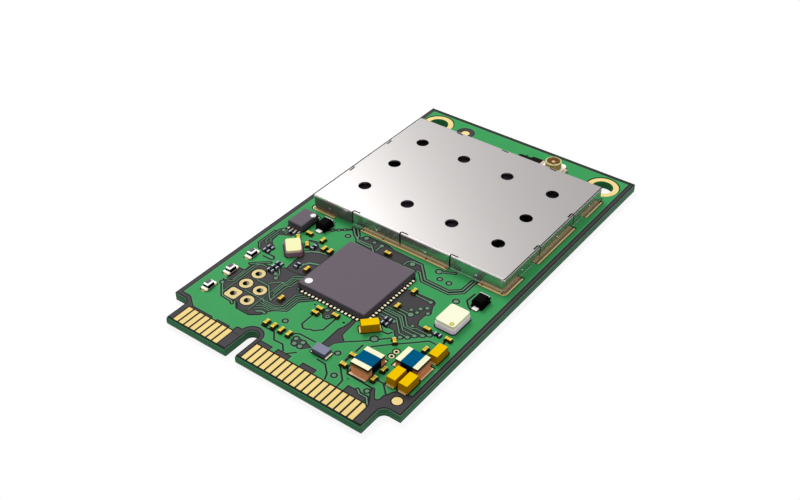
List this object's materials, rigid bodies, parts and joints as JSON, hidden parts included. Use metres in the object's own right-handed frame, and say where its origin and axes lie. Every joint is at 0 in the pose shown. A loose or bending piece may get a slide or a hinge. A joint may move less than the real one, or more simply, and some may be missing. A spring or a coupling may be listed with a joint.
{
  "type": "radio mini card",
  "caption": "Full-size mini card: circuit board with gold edge contacts and a key notch, a vented shield can over the radio half, chips and passives on the open half.",
  "frame": {"origin": "middle of the board's underside", "axes": "+X across the card, +Y from the contact edge to the rear edge with the mounting holes, +Z out of the component side"},
  "size_m": [0.03, 0.051, 0.0028],
  "materials": {
    "board": "green solder mask over glass laminate",
    "gold": "gold plated copper",
    "tinned_gold": "pale gold plated copper",
    "soldered_land": "flux-stained solder on gold",
    "shield_sheet": "tinned sheet steel",
    "moulding": "moulded chip package",
    "black_moulding": "black moulded package",
    "ceramic": "grey-purple ceramic",
    "lid_metal": "pale plated metal lid",
    "blue_coating": "blue coated winding",
    "tin": "tinned metal",
    "yellow_moulding": "yellow moulded resin",
    "yellow_ceramic": "ochre ceramic",
    "resistor_black": "black glaze",
    "lamp_white": "white base",
    "lamp_resin": "cloudy clear resin",
    "grey_blue_moulding": "grey-blue moulding",
    "socket_plastic": "white plastic",
    "socket_gold": "gold plated metal"
  },
  "bodies": {
    "root": {"alignment_dots": "gold", "amplifier_body": "moulding", "amplifier_leads": "tin", "antenna_socket_base": "socket_plastic", "antenna_socket_legs": "socket_gold", "antenna_socket_pin": "socket_gold", "antenna_socket_ring": "socket_gold", "antenna_switch_body": "moulding", "antenna_switch_leads": "tin", "baseband_chip_body": "moulding", "baseband_chip_leads": "tin", "circuit_board": "board", "clock_base": "ceramic", "clock_lid": "lid_metal", "crystal_base": "ceramic", "crystal_lid": "lid_metal", "diode_bodies": "black_moulding", "diode_leads": "tin", "edge_contacts_bottom": "gold", "edge_contacts_top": "gold", "filter_chip_body": "grey_blue_moulding", "filter_chip_feet": "tin", "header_eyelets": "gold", "inductor_bodies": "blue_coating", "inductor_ends": "tin", "inductor_lands": "soldered_land", "inner_capacitor_bodies": "yellow_ceramic", "inner_capacitor_ends": "tin", "inner_coil_bodies": "blue_coating", "inner_coil_ends": "tin", "inner_resistor_bodies": "resistor_black", "inner_resistor_ends": "tin", "lamp_bases": "lamp_white", "lamp_ends": "tin", "lamp_lenses": "lamp_resin", "large_capacitor_bodies": "yellow_moulding", "large_capacitor_feet": "tin", "large_capacitor_lands": "tin", "main_chip_body": "moulding", "main_chip_leads": "tin", "mounting_hole_lands": "gold", "oscillator_base": "ceramic", "oscillator_lid": "lid_metal", "radio_chip_bodies": "moulding", "radio_chip_leads": "tin", "regulator_body": "moulding", "regulator_leads": "tin", "resistor_bodies": "resistor_black", "resistor_ends": "tin", "shield_cover": "shield_sheet", "shield_frame": "shield_sheet", "shield_lands": "soldered_land", "small_capacitor_bodies": "yellow_ceramic", "small_capacitor_ends": "tin", "supply_chip_body": "moulding", "supply_chip_leads": "tin", "via_eyelets": "tinned_gold", "wave_filter_bases": "ceramic", "wave_filter_lids": "lid_metal"}
  },
  "joints": []
}
